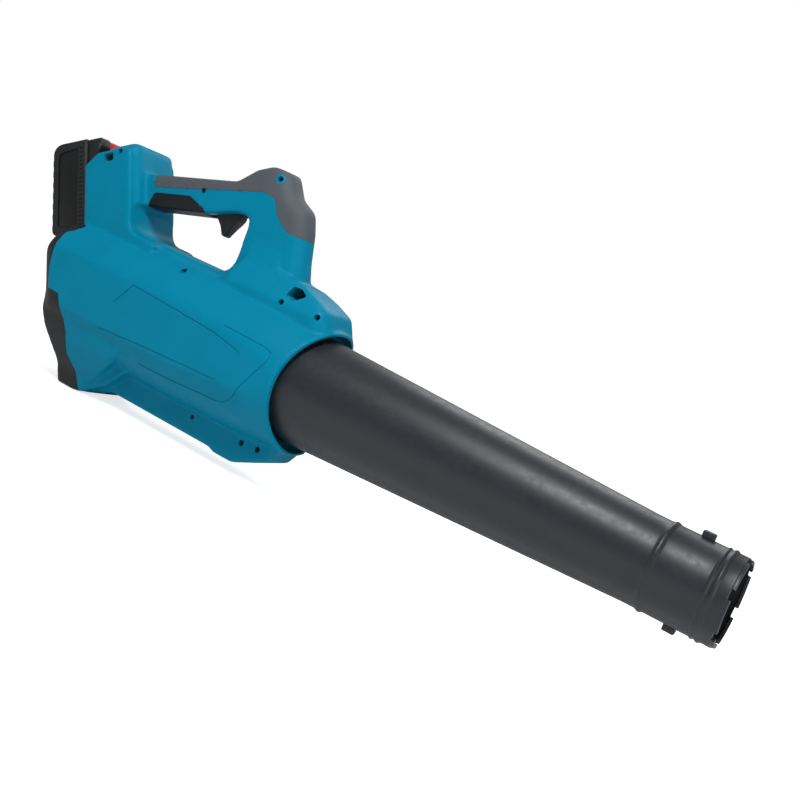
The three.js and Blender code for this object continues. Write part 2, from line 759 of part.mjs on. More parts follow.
function motor() {
  const rear = CUP_FRONT - CUP_WALL - GAP - MOTOR_LENGTH;
  const front = rear + MOTOR_LENGTH;
  add(
    "motor_case",
    turned([
      [rear, BEARING_R + GAP],
      [rear, MOTOR_R],
      [front, MOTOR_R],
      [front, MOTOR_R - 1.6],
      [rear + BEARING_LENGTH, MOTOR_R - 1.6],
      [rear + BEARING_LENGTH, BEARING_R + GAP],
    ], 36),
    steel,
  );
  add(
    "motor_end_bell",
    turned([
      [front - BEARING_LENGTH - 1, BEARING_R + GAP],
      [front - BEARING_LENGTH - 1, MOTOR_R - 1.6 - GAP],
      [front - GAP, MOTOR_R - 1.6 - GAP],
      [front - GAP, BEARING_R + GAP],
    ], 36),
    steel,
  );
  add(
    "motor_stator",
    turned([
      [rear + 9, 12],
      [rear + 9, MOTOR_R - 1.6 - GAP],
      [front - 10, MOTOR_R - 1.6 - GAP],
      [front - 10, 12],
    ], 36),
    copper,
  );
  const core = [rear + 10, front - 11];
  add(
    "motor_rotor",
    turned([
      [core[0], SHAFT_R + 0.2],
      [core[0], 11],
      [core[1], 11],
      [core[1], SHAFT_R + 0.2],
    ], 24),
    steel,
  );
  for (const [name, x] of [["rear", rear], ["front", front - BEARING_LENGTH - GAP]])
    add(
      "bearing_" + name,
      turned([
        [x, SHAFT_R + 0.2],
        [x, BEARING_R],
        [x + BEARING_LENGTH, BEARING_R],
        [x + BEARING_LENGTH, SHAFT_R + 0.2],
      ], 24),
      steel,
    );
  add("motor_shaft", rodX(SHAFT_R - 0.1, FAN_X - HUB_LENGTH / 2 - 7, front + 1, 0, 0, 20), steel);
}

// The pack, its rails and its button, in the leaning frame
function battery() {
  const width = PACK_WIDTH / 2;
  const caseBox = (inset, x0, x1) => {
    const points = [
      [x0, inset, 6],
      [x0, PACK_LENGTH - inset, 10],
      [x1, PACK_LENGTH - inset],
      [x1, inset],
    ];
    return slab(points, width - inset, 7 - inset);
  };
  const hollow = caseBox(PACK_WALL, PACK_WALL - PACK_DEPTH, -SLIDE - PACK_WALL);
  const body = caseBox(0, -PACK_DEPTH, -SLIDE).subtract(hollow);
  const lower = body.intersect(box([-FAR, -PACK_LID - GAP / 2], [-FAR, FAR], [-FAR, FAR]));
  const upper = body.intersect(box([-PACK_LID + GAP / 2, FAR], [-FAR, FAR], [-FAR, FAR]));
  const rails = join([
    box([-1, RAIL_DEPTH], [-RAIL_WEB, RAIL_WEB], [RAIL_FROM, RAIL_TO]),
    box([RAIL_WEB_DEPTH, RAIL_DEPTH], [-RAIL_FLANGE, RAIL_FLANGE], [RAIL_FROM, RAIL_TO - 16]),
  ]);
  const contacts = BLADES_Y.map((y) => box([2.5, 9], [y - 1.6, y + 1.6], [RAIL_FROM - 1, RAIL_FROM + 22]));
  const hood = slab(
    [
      [-2, TOWER_TOP - 7],
      [RAIL_DEPTH - 2, TOWER_TOP - 7],
      [RAIL_DEPTH + 4, 97, 3],
      [RAIL_DEPTH + 9, 104, 3],
      [RAIL_DEPTH + 9, PACK_LENGTH, 6],
      [-2, PACK_LENGTH],
    ],
    HOOD_HALF_WIDTH,
    4,
  );
  const bay = box(
    [BUTTON.back - BUTTON.travel - 0.4, 40],
    [-BUTTON.halfWidth - SLIDE, BUTTON.halfWidth + SLIDE],
    [BUTTON.from - 6, PACK_LENGTH + 10],
  );
  add("battery_lid", leanOver(cut(join([upper, rails, hood]), [...contacts, bay])), glassy);
  add("battery_case", leanOver(lower), glassy);
  add(
    "battery_button",
    leanOver(
      slab(
        [
          [BUTTON.back, BUTTON.from],
          [BUTTON.front, BUTTON.from],
          [BUTTON.front + 1, BUTTON.to - 3, 3],
          [BUTTON.front - 6, BUTTON.to, 3],
          [BUTTON.back, BUTTON.to],
        ],
        BUTTON.halfWidth,
        2,
      ),
    ),
    red,
  );
  const springFrom = BUTTON.back - BUTTON.travel - 0.4 + GAP;
  add("button_spring", leanOver(rodX(3, springFrom, BUTTON.back - GAP, 0, 108, 12)), steel);
  for (let i = 0; i < 10; i++) {
    const row = i < 5 ? 0 : 1;
    const z = 17.5 + (i % 5) * CELL_PITCH;
    const x = -PACK_DEPTH + PACK_WALL + CELL_R + 1.2 + row * CELL_PITCH;
    add("cell_" + (i + 1), leanOver(rodY(CELL_R, -CELL_LENGTH / 2, CELL_LENGTH / 2, x, z, 16)), wrap);
  }
  add(
    "battery_board",
    leanOver(box([-SLIDE - PACK_WALL - 4, -SLIDE - PACK_WALL - 2.4], [-30, 30], [20, 96])),
    board,
  );
}

function electrics() {
  const hold = leanOver(
    join([
      box([RAIL_DEPTH + 4 + GAP, RAIL_DEPTH + 9], [-26, 26], [4, 40]),
      ...BLADES_Y.map((y) => box([3.2, RAIL_DEPTH + 6], [y - 0.8, y + 0.8], [10, 24])),
      ...BLADES_Y.map((y) => box([3.6, 8.2], [y - 0.8, y + 0.8], [22, 44])),
    ]),
  );
  add("battery_terminals", hold, copper);
  add("control_board", leanOver(box([44, 46], [-30, 30], [6, 70])), board);
  add("board_heat_sink", leanOver(box([46.3, 52], [-22, 22], [16, 58])), steel);
}

// The trigger slides back along the grip into the switch
function triggerAndSwitch() {
  add("trigger", slab(TRIGGER_SIDE, TRIGGER_HALF_WIDTH, 2).intersect(across(TRIGGER_SECTION)), black);
  const along = (s) => s.rotate([0, -GRIP_SLOPE, 0]).translate([SWITCH_AT[0], 0, SWITCH_AT[1]]);
  add("switch_body", along(box([-26, 6], [-9, 9], [-3.5, 5])), black);
  add("trigger_spring", along(rodX(3, 6.4, 17.5, 0, 1, 12)), steel);
}

function screws() {
  SCREWS.forEach(([x, z, w, r], i) => {
    const head = -w + SCREW_SINK + 4;
    const neck = rodY(SCREW_R, head - 0.5, w - 9, x, z, 10);
    add("screw_" + (i + 1), neck.add(rodY(r - 0.5, head - 2.6, head - GAP, x, z, 12)), steel);
  });
}

casing();
grips();
rearCover();
tube();
duct();
fan();
motor();
battery();
electrics();
triggerAndSwitch();
screws();

// The origin is on the floor under the middle of the blower's length.
const extent = new THREE.Box3().setFromObject(blower);
blower.position.set(-(extent.min.x + extent.max.x) / 2, 0, -extent.min.z);
export default blower;
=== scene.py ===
"""Cordless leaf blower: the casing, grips, pack, air tube and controls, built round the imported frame."""

import math

import bpy
from mathutils import Matrix, Vector


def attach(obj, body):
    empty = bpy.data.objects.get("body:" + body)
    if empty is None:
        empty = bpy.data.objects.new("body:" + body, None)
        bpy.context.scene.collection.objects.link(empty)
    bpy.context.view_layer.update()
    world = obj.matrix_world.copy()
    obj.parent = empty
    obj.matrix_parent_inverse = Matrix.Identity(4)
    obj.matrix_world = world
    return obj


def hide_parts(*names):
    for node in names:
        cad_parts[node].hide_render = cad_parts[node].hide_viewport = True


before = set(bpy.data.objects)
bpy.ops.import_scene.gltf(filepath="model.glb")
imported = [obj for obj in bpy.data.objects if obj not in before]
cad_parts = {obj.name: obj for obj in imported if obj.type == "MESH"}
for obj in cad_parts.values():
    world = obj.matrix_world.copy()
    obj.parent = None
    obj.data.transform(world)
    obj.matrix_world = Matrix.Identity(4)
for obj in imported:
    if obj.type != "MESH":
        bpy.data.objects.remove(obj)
for name in ("Cube", "Camera", "Light"):
    if name in bpy.data.objects:
        bpy.data.objects.remove(bpy.data.objects[name])
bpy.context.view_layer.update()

MM = 0.001
MOUTH = (-23.55, 0.0, 117.0)  # the casing's mouth in the row frame; all places below are from it, in mm
LEAN = math.radians(27.3)  # the pack and its tower lean back by this
SEAT = (-343.6, 57.2)  # foot of the pack's face
FAR = 600.0

GAP = 0.3  # between neighbours
WALL = 2.8  # of the casing
SKIN = 2.6  # of the soft grips
SOFTEN = 4.0  # the casing's edges are eased about this much
CASE_VOXEL = 1.6
CORE_VOXEL = 3.2

BARREL_R = 79.0
BARREL_HALF_WIDTH = 73.0
RIM_R = 71.0
MOUTH_WALL = 9.0
MOUTH_LIP = 18.0
MOUTH_ARC_R = 145.0
FOOT_Z = -117.0
REAR_FOOT_X = -294.0
REAR_FACE_X = -299.0  # where the plane of the rear face would meet the floor
KEEL_Z = -102.0
TOWER_TOP = 93.0
TOWER_DEPTH = 70.0
HANDLE_HALF_WIDTH = 20.0

TUBE_BASE_R = 61.6
TUBE_END_R = 43.6
TUBE_WALL = 2.4
TUBE_CONE = 400.0
TUBE_COLLAR = 88.0
TUBE_TAIL = 22.0
DUCT_R = 58.4

PACK_LENGTH = 115.0
PACK_WIDTH = 75.0
PACK_DEPTH = 53.6
PACK_LID = 4.0
PACK_WALL = 2.4
RAIL_DEPTH = 11.5
RAIL_WEB = 23.5
RAIL_FLANGE = 28.5
RAIL_WEB_DEPTH = 6.0
SLIDE = 0.5
BLADES_Y = (-9.0, 9.0)

# Screws: x, z, half width of the casing there, hole radius
SCREWS = (
    (-335, 161, 43, 3.4),
    (-340, 61, 50.2, 3.4),
    (-180, 64, 46.3, 3.4),
    (-217, 156, 20, 3.4),
    (-124, 201, 20, 3.4),
    (-50, 78, 38, 3.4),
    (-2, 79, 38, 3.4),
    (-107, -81, 27, 2.6),
    (-35, -80, 27, 3.4),
    (-13, -78, 27, 3.4),
)
SCREW_SINK = 9.0  # depth of a screw hole
SHANK_HOLE_R = 2.0
FRONT_RING_R = 5.6  # the casing round the front grip screw


def place(x, y, z):
    """A place from the mouth, in mm, as a point of the row frame in metres."""
    return Vector(((x + MOUTH[0]) * MM, (y + MOUTH[1]) * MM, (z + MOUTH[2]) * MM))


def leaning(point):
    """An [x, z, radius] point of the leaning pack and tower, seen from the mouth."""
    x, z = point[:2]
    c, s = math.cos(LEAN), math.sin(LEAN)
    return (SEAT[0] + x * c - z * s, SEAT[1] + x * s + z * c, *point[2:])


def rear_at(z):
    """Where the leaning rear face stands at a height."""
    return REAR_FACE_X - (z - FOOT_Z) * math.tan(LEAN)


WINDOW_R = 44.0  # the round air window in the rear cover
WINDOW_AT = (rear_at(-20), -20)

# Side outlines: x, z and the radius of the corner, if it has one

BARREL_SIDE = [
    leaning((-22, -2.5, 8)),
    (rear_at(24), 24, 30),
    (rear_at(-60), -60, 40),
    (-303, -92, 30),
    (REAR_FOOT_X, FOOT_Z, 3),
    (40, FOOT_Z),
    (40, 120),
    leaning((30, 60)),
    leaning((0, -2.5)),
]
FOOT_SIDE = [
    (rear_at(-40), -40),
    (REAR_FOOT_X, FOOT_Z, 4),
    (-262, FOOT_Z, 16),
    (-226, -94, 16),
    (-196, -60),
    (-196, -40),
]
# The flanks run out from the foot to the barrel
HEEL_SIDE = [
    (rear_at(0) + 14, 0),
    (rear_at(-42), -42, 30),
    (rear_at(-60), -60, 40),
    (-303, -92, 30),
    (REAR_FOOT_X, FOOT_Z),
    (-268, FOOT_Z),
    (-236, -88, 20),
    (-205, -50),
    (-205, 0),
]
HEEL_HALF = [
    (42, -125),
    (46, -99),
    (52, -87),
    (57, -75),
    (62, -62),
    (66, -46),
    (67, -28),
    (60, 0),
]
HEEL_SECTION = [(-y, z) for y, z in HEEL_HALF] + HEEL_HALF[::-1]
KEEL_SIDE = [
    (rear_at(-50), -50),
    (REAR_FOOT_X, FOOT_Z, 4),
    (-262, FOOT_Z, 16),
    (-226, KEEL_Z, 16),
    (-74, KEEL_Z, 4),
    (-66, KEEL_Z - 3, 4),
    (-40, KEEL_Z - 3, 14),
    (0, -87, 8),
    (MOUTH_LIP - 8, -70, 4),
    (MOUTH_LIP - 6, -40),
]
TOWER_SIDE = [
    leaning(p)
    for p in (
        (0, -2.5),
        (0, TOWER_TOP - 13),
        (20, TOWER_TOP, 4),
        (TOWER_DEPTH, TOWER_TOP, 12),
        (TOWER_DEPTH, -2, 24),
        (TOWER_DEPTH + 36, -34),
        (TOWER_DEPTH, -70),
        (14, -60),
    )
]
HANDLE_FRONT = [
    (-117, 212, 12),
    (-101, 190, 18),
    (-80, 180, 16),
    (-70, 158, 30),
    (-60, 126, 30),
    (-50, 102, 10),
    (-40, 60),
]
HANDLE_SIDE = [
    (-330, 140),
    (-300, 150),
    (-178, 181, 14),
    (-157, 202, 14),
    (-138, 212, 16),
    *HANDLE_FRONT,
    (-330, 60),
]
# The same front edge for the rounder front corners
NOSE_SIDE = [(-400, 0), (-400, 260), (-140, 260), *HANDLE_FRONT, (-40, 0)]
CROWN_SIDE = [
    leaning(p)
    for p in (
        (24, TOWER_TOP - 8),
        (31, TOWER_TOP + 7, 8),
        (TOWER_DEPTH + 5, TOWER_TOP + 7, 10),
        (TOWER_DEPTH + 5, 20, 20),
        (TOWER_DEPTH - 4, 0),
        (24, 0),
    )
]
OPENING_SIDE = [
    leaning((TOWER_DEPTH, 25, 6)),
    (leaning((TOWER_DEPTH, 0))[0] + 4, 79, 20),
    (-137, 79, 24),
    (-142, 150, 20),
    (-167, 147, 12),
    (-199, 134, 8),
]
BLOCK_SIDE = [
    (-165, 60),
    (-140, 79, 6),
    (-128, 100, 10),
    (-124, 140, 10),
    (-90, 140, 10),
    (-80, 108, 8),
    (-50, 104, 6),
    (-38, 103, 8),
    (-18, 97, 8),
    (4, 88, 10),
    (MOUTH_LIP - 4, 70, 6),
    (MOUTH_LIP - 4, 40),
    (-165, 40),
]
# Its section across the blower, as y and z
BLOCK_SECTION = [
    (-38, 30),
    (-38, 77),
    (-31, 90),
    (-24, 104),
    (-20, 128),
    (-20, 150),
    (20, 150),
    (20, 128),
    (24, 104),
    (31, 90),
    (38, 77),
    (38, 30),
]
UPPER_GRIP_SIDE = [
    (-289, 136, 6),
    (-232, 152.5),
    (-140, 180, 10),
    (-122, 180, 10),
    (-107, 160, 12),
    (-88, 148.5, 8),
    (-40, 148.5),
    (-40, 230),
    (-289, 230),
]
LOWER_GRIP_SIDE = [
    (-283, 131.5, 6),
    (-232, 144, 8),
    (-206, 137, 6),
    (-196, 110),
    (-285, 90),
    (-285, 118, 4),
]
COVER_SIDE = [
    (-349, 56),
    (-347, 36, 20),
    (-343, 4, 20),
    (-334, -18, 4),
    (-314, -18, 5),
    (-290, -56, 20),
    (-285, -79, 12),
    (-268, -95, 8),
    (-260, FOOT_Z + 5),
    (-257, FOOT_Z - 20),
    (-440, FOOT_Z - 20),
    (-440, 56),
]


# Modelling


def only(piece):
    """Makes one piece the whole selection."""
    bpy.ops.object.select_all(action="DESELECT")
    piece.select_set(True)
    bpy.context.view_layer.objects.active = piece
    return piece


def apply(piece, kind, **settings):
    """Adds a modifier to a piece and applies it."""
    only(piece)
    modifier = piece.modifiers.new(kind.title(), kind)
    for name, value in settings.items():
        setattr(modifier, name, value)
    bpy.ops.object.modifier_apply(modifier=modifier.name)
    return piece


def remove(piece):
    mesh = piece.data
    bpy.data.objects.remove(piece)
    bpy.data.meshes.remove(mesh)


def boolean(piece, tools, operation, keep=False):
    """Cuts, joins or keeps a piece with other pieces, which are used up unless they are kept."""
    for tool in tools if isinstance(tools, (list, tuple)) else [tools]:
        apply(piece, "BOOLEAN", operation=operation, solver="MANIFOLD", object=tool)
        if not keep:
            remove(tool)
    return piece


def cut(piece, tools, keep=False):
    return boolean(piece, tools, "DIFFERENCE", keep)


def join(piece, tools, keep=False):
    return boolean(piece, tools, "UNION", keep)


def within(piece, tool, keep=False):
    return boolean(piece, tool, "INTERSECT", keep)


def copied(piece, name):
    only(piece)
    bpy.ops.object.duplicate()
    made = bpy.context.object
    made.name = name
    return made


def rounded(outline, inset=0.0, steps=4):
    """An outline set in, with its corners rounded by their radius."""
    turn = sum(a[0] * b[1] - b[0] * a[1] for a, b in zip(outline, outline[1:] + outline[:1]))
    points = list(outline) if turn > 0 else list(reversed(outline))
    flat = [Vector(p[:2]) for p in points]
    corners = []
    for i, p in enumerate(points):
        into = (flat[i] - flat[i - 1]).normalized()
        on = (flat[(i + 1) % len(flat)] - flat[i]).normalized()
        mitre = Vector((-into.y - on.y, into.x + on.x)) * (inset / (1 + into.dot(on)))
        bend = math.copysign(1.0, into.x * on.y - into.y * on.x)
        corners.append((flat[i] + mitre, max(p[2] - inset * bend, 0.0) if len(p) > 2 else 0.0))
    made = []
    for i, (corner, radius) in enumerate(corners):
        if radius < 0.2:
            made.append(corner)
            continue
        back = corners[i - 1][0] - corner
        on = corners[(i + 1) % len(corners)][0] - corner
        trim = min(radius / math.tan(back.angle(on) / 2), 0.48 * back.length, 0.48 * on.length)
        start = corner + back.normalized() * trim
        end = corner + on.normalized() * trim
        for k in range(steps + 1):
            t = k / steps
            made.append((1 - t) ** 2 * start + 2 * t * (1 - t) * corner + t * t * end)
    return made


def trace(name, points):
    """Draws a line through points from one vertex, by extruding it on, and stays in edit mode."""
    bpy.ops.object.select_all(action="DESELECT")
    bpy.ops.mesh.primitive_plane_add(size=MM, location=points[0])
    piece = bpy.context.object
    piece.name = name
    bpy.ops.object.transform_apply(location=True, rotation=True, scale=True)
    bpy.ops.object.mode_set(mode="EDIT")
    bpy.ops.mesh.select_all(action="SELECT")
    bpy.ops.mesh.merge(type="CENTER")
    for here, there in zip(points, points[1:]):
        bpy.ops.mesh.extrude_vertices_move(TRANSFORM_OT_translate={"value": there - here})
    bpy.ops.mesh.select_all(action="SELECT")
    return piece


def extruded(name, points, way):
    """A closed outline given its thickness by a straight extrusion."""
    piece = trace(name, points)
    bpy.ops.mesh.edge_face_add()
    bpy.ops.mesh.extrude_region_move(TRANSFORM_OT_translate={"value": way})
    bpy.ops.mesh.select_all(action="SELECT")
    bpy.ops.mesh.normals_make_consistent(inside=False)
    bpy.ops.object.mode_set(mode="OBJECT")
    return piece


def prism(name, outline, y0, y1, inset=0.0, steps=4):
    """A side outline given its thickness from y0 to y1."""
    points = [place(x, y0, z) for x, z in rounded(outline, inset, steps)]
    return extruded(name, points, (0, (y1 - y0) * MM, 0))


def beam(name, section, x0, x1):
    """A cross section of y and z given its length from x0 to x1."""
    return extruded(name, [place(x0, y, z) for y, z in section], ((x1 - x0) * MM, 0, 0))


def gridded(piece, cuts=24):
    """Divides a cutter's faces, so that no very large face is left by its cut."""
    only(piece)
    bpy.ops.object.mode_set(mode="EDIT")
    bpy.ops.mesh.select_all(action="SELECT")
    bpy.ops.mesh.subdivide(number_cuts=cuts)
    bpy.ops.object.mode_set(mode="OBJECT")
    return piece


def crowned(name, outline, half_width, radius, steps=6):
    """A slab whose two long edges fall away in small steps, which the fusing then melts together."""
    layers = []
    for k in range(steps + 1):
        angle = math.pi / 2 * k / steps
        inset = radius * (1 - math.cos(angle))
        width = half_width - radius * (1 - math.sin(angle))
        layers.append(slab(name, outline, width + inset, inset))
    return join(layers[0], layers[1:])


def slab(name, outline, half_width, inset=0.0, steps=4):
    return prism(name, outline, inset - half_width, half_width - inset, inset, steps)


def block(name, x, y, z, lean=False, radius=0.0):
    """A box between two x, y and z values, upright or in the leaning frame."""
    corners = ((x[0], z[0]), (x[1], z[0]), (x[1], z[1]), (x[0], z[1]))
    outline = [(*corner, radius) for corner in corners]
    return prism(name, [leaning(p) for p in outline] if lean else outline, y[0], y[1])


def turned(name, profile, steps=128, centre=(0.0, 0.0)):
    """A profile of [x, radius] points spun about the line along X through centre's y and z."""
    y, z = centre
    closed = profile if profile[0][1] == 0 else [*profile, profile[0]]
    piece = trace(name, [place(x, y, z + r) for x, r in closed])
    bpy.ops.mesh.spin(steps=steps, angle=2 * math.pi, center=place(0, y, z), axis=(1, 0, 0))
    bpy.ops.mesh.select_all(action="SELECT")
    bpy.ops.mesh.remove_doubles(threshold=0.00001)
    bpy.ops.mesh.normals_make_consistent(inside=False)
    bpy.ops.object.mode_set(mode="OBJECT")
    return piece


def rod(name, radius, y, x, z, sides=32):
    """A round bar across the blower, between two y values."""
    bpy.ops.object.select_all(action="DESELECT")
    bpy.ops.mesh.primitive_cylinder_add(
        vertices=sides,
        radius=radius * MM,
        depth=(y[1] - y[0]) * MM,
        location=place(x, (y[0] + y[1]) / 2, z),
        rotation=(math.pi / 2, 0, 0),
    )
    bpy.ops.object.transform_apply(location=True, rotation=True, scale=True)
    piece = bpy.context.object
    piece.name = name
    return piece


def bar(name, radius, x, y=0.0, z=0.0, sides=128):
    """A round bar along the blower, between two x values."""
    return turned(name, [(x[0], 0), (x[0], radius), (x[1], radius), (x[1], 0)], sides, (y, z))


def lean_back(piece, about=SEAT):
    """Tilts a piece drawn upright round a point of the side view."""
    only(piece)
    centre = place(about[0], 0, about[1])
    turn = Matrix.Rotation(-LEAN, 4, "Y")
    about_centre = Matrix.Translation(centre) @ turn @ Matrix.Translation(-centre)
    piece.matrix_world = about_centre @ piece.matrix_world
    bpy.ops.object.transform_apply(location=True, rotation=True, scale=True)
    return piece


def ease(piece, width, segments=3, angle=35):
    """Rounds a piece's edges."""
    return apply(
        piece,
        "BEVEL",
        width=width * MM,
        segments=segments,
        limit_method="ANGLE",
        angle_limit=math.radians(angle),
        harden_normals=False,
    )


def fuse(piece, voxel):
    """Melts a piece into one skin and eases all its edges."""
    apply(piece, "REMESH", mode="VOXEL", voxel_size=voxel * MM)
    passes = round((SOFTEN / voxel) ** 2 * 4)
    return apply(piece, "SMOOTH", factor=0.5, iterations=passes)


def swell(piece, distance):
    """Moves a piece's skin out by a distance, or in where it is negative."""
    return apply(piece, "DISPLACE", strength=distance * MM, mid_level=0.0, direction="NORMAL")


def shade(piece, angle=35):
    only(piece)
    bpy.ops.object.shade_smooth_by_angle(angle=math.radians(angle))
    return piece


# Finishes


def linear(colour):
    """A screen colour of 0 to 255 as a shader's colour."""
    parts = (v / 255 for v in colour)
    return [c / 12.92 if c <= 0.04045 else ((c + 0.055) / 1.055) ** 2.4 for c in parts] + [1.0]


def plastic(
    name,
    colour,
    roughness,
    grain=1800.0,
    relief=0.08,
    mottle=0.05,
    edge_highlight=0.1,
    metallic=0.0,
    stretch=None,
    shine=0.3,
):
    """Moulded plastic or metal: a slight mottle in colour and gloss, a fine grain, and paler edges that are
    a painted highlight.
    """
    material = bpy.data.materials.new(name)
    material.use_nodes = True
    nodes, links = material.node_tree.nodes, material.node_tree.links
    shader = nodes["Principled BSDF"]
    where = nodes.new("ShaderNodeTexCoord").outputs["Object"]
    if stretch:
        mapping = nodes.new("ShaderNodeMapping")
        mapping.inputs["Scale"].default_value = stretch
        links.new(where, mapping.inputs["Vector"])
        where = mapping.outputs["Vector"]

    def noise(scale, detail):
        node = nodes.new("ShaderNodeTexNoise")
        node.inputs["Scale"].default_value = scale
        node.inputs["Detail"].default_value = detail
        links.new(where, node.inputs["Vector"])
        return node.outputs["Fac"]

    def ranged(value, low, high, start=0.3, end=0.7):
        node = nodes.new("ShaderNodeMapRange")
        node.inputs["From Min"].default_value = start
        node.inputs["From Max"].default_value = end
        node.inputs["To Min"].default_value = low
        node.inputs["To Max"].default_value = high
        links.new(value, node.inputs["Value"])
        return node.outputs["Result"]

    def mixed(factor, a, b):
        node = nodes.new("ShaderNodeMix")
        node.data_type = "RGBA"
        links.new(factor, node.inputs[0])
        for socket, value in ((node.inputs[6], a), (node.inputs[7], b)):
            if isinstance(value, list):
                socket.default_value = value
            else:
                links.new(value, socket)
        return node.outputs[2]

    base = linear(colour)
    dark = [c * (1 - mottle) for c in base[:3]] + [1.0]
    light = [min(c * (1 + mottle) + mottle * 0.02, 1.0) for c in base[:3]] + [1.0]
    # The pale colour and the pointiness mask below lighten the convex edges: a painted highlight.
    highlight_colour = [c + (0.8 - c) * 0.35 for c in base[:3]] + [1.0]
    body = mixed(ranged(noise(28, 4), 0, 1), dark, light)
    highlight_mask = ranged(nodes.new("ShaderNodeNewGeometry").outputs["Pointiness"], 0, edge_highlight, 0.53, 0.62)
    links.new(mixed(highlight_mask, body, highlight_colour), shader.inputs["Base Color"])
    gloss = ranged(noise(140, 5), roughness - 0.05, roughness + 0.05)
    links.new(gloss, shader.inputs["Roughness"])
    shader.inputs["Metallic"].default_value = metallic
    shader.inputs["Specular IOR Level"].default_value = shine
    bump = nodes.new("ShaderNodeBump")
    bump.inputs["Strength"].default_value = relief
    bump.inputs["Distance"].default_value = 0.0003
    links.new(noise(grain, 3), bump.inputs["Height"])
    links.new(bump.outputs["Normal"], shader.inputs["Normal"])
    return material


FINISH = {
    "teal_plastic": plastic("satin_teal", (0, 120, 151), 0.42, 1500, 0.05, 0.03, 0.06, shine=0.06),
    "soft_grip": plastic("soft_rubber", (74, 80, 86), 0.68, 1100, 0.35, 0.06, 0.08),
    "black_plastic": plastic("black_moulding", (21, 25, 28), 0.5, 1300, 0.12, 0.06, 0.12),
    "tube_plastic": plastic("tube_black", (28, 32, 38), 0.42, 900, 0.05, 0.06, 0.12, shine=0.45),
    "duct_plastic": plastic("duct_black", (34, 35, 38), 0.55, 1200, 0.12, 0.08, 0.1),
    "battery_plastic": plastic("pack_black", (25, 27, 30), 0.52, 1100, 0.22, 0.08, 0.15),
    "red_plastic": plastic("button_red", (205, 18, 28), 0.36, 1400, 0.06, 0.04, 0.2),
    "steel": plastic("bright_steel", (186, 188, 192), 0.32, 900, 0.06, 0.06, 0.2, 1.0, (1, 1, 9)),
    "heat_sink_aluminium": plastic("cast_aluminium", (176, 178, 182), 0.45, 700, 0.2, 0.08, 0.2, 1.0),
    "copper": plastic("copper", (184, 115, 51), 0.36, 900, 0.08, 0.1, 0.15, 1.0),
    "circuit_board": plastic("board_green", (26, 84, 48), 0.45, 600, 0.2, 0.12, 0.1),
    "cell_wrap": plastic("cell_wrap", (44, 104, 186), 0.4, 500, 0.06, 0.05, 0.1),
}
PANEL_BLACK = plastic("panel_black", (10, 11, 13), 0.4, 1300, 0.08, 0.08, 0.05)
# A darker copy of the grip rubber for the lower grip: painted shade.
SHADED_GRIP_RUBBER = plastic("shaded_grip_rubber", (14, 18, 22), 0.6, 1100, 0.3, 0.06, 0.04)


def finished(piece, body, slot, *nodes, angle=35):
    """Shades a piece, gives it its finish and body, and puts it in the place of CAD nodes."""
    shade(piece, angle)
    piece.data.materials.clear()
    piece.data.materials.append(FINISH[slot])
    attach(piece, body)
    if nodes:
        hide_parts(*nodes)
    return piece


# Casing


def body_volume():
    """The whole body with square edges, the finger loop and the front edge cut."""
    barrel = turned(
        "barrel",
        [
            (-FAR, 0),
            (-FAR, BARREL_R),
            (-140, BARREL_R),
            (-40, BARREL_R - 2.5),
            (0, RIM_R + 2),
            (40, RIM_R),
            (40, 0),
        ],
    )
    within(barrel, crowned("barrel_side", BARREL_SIDE, BARREL_HALF_WIDTH, 21, 8))
    lumps = ((KEEL_SIDE, 27), (FOOT_SIDE, 42), (TOWER_SIDE, 43))
    join(barrel, [slab("lump", outline, half_width) for outline, half_width in lumps])
    join(barrel, crowned("crown", CROWN_SIDE, 37, 9))
    post_root = crowned("post_root", BLOCK_SIDE, 38, 15)
    join(barrel, within(post_root, beam("section", BLOCK_SECTION, -300, 100)))
    join(barrel, within(slab("heel", HEEL_SIDE, 70), beam("section", HEEL_SECTION, -450, 0)))
    nose = crowned("nose", NOSE_SIDE, HANDLE_HALF_WIDTH, 15)
    join(barrel, within(slab("handle", HANDLE_SIDE, HANDLE_HALF_WIDTH), nose))
    front = rod("front", MOUTH_ARC_R, (-FAR, FAR), MOUTH_ARC_R, 0, 256)
    join(front, block("front_block", (MOUTH_LIP, FAR), (-FAR, FAR), (-MOUTH_ARC_R, MOUTH_ARC_R)))
    return cut(barrel, [slab("finger_loop", OPENING_SIDE, 60, 0, 6), front])


def strap_slots(grow=0.0):
    """Cutters for the strap's two slots, at the tower's top and in the front block."""
    rear = [leaning(p) for p in ((31, 79, 3), (45, 79, 3), (45, 89, 3), (31, 89, 3))]
    front = [(-51, 87, 2), (-38, 84, 2), (-27, 94, 2), (-37, 99, 2), (-48, 99, 2)]
    return [prism("strap_slot", side, -FAR, FAR, -grow) for side in (rear, front)]


body = body_volume()
core = fuse(copied(body, "core"), CORE_VOXEL)
outside = fuse(body, CASE_VOXEL)
inside = swell(copied(core, "inside"), -WALL)
cut(inside, block("front", (-MOUTH_WALL, FAR), (-FAR, FAR), (-FAR, FAR)))

# Under the grips the wall lies deeper
grip_zone = join(
    prism("zone", UPPER_GRIP_SIDE, -60, 60, -4),
    prism("zone", LOWER_GRIP_SIDE, -60, 60, -4),
)
deep = within(swell(core, -WALL - SKIN - GAP), grip_zone, keep=True)
join(cut(inside, grip_zone), deep)

# Bosses, strap slot walls and the block behind the rails stay solid
cut(inside, [rod("boss", r + 2.2, (-FAR, FAR), x, z) for x, z, _, r in SCREWS])
cut(inside, strap_slots(2.4))
channel_block = block("channel_block", (-20, RAIL_DEPTH + 4), (-32.5, 32.5), (2, TOWER_TOP - 8), lean=True)
cut(inside, channel_block)

shell = cut(copied(outside, "shell"), inside, keep=True)

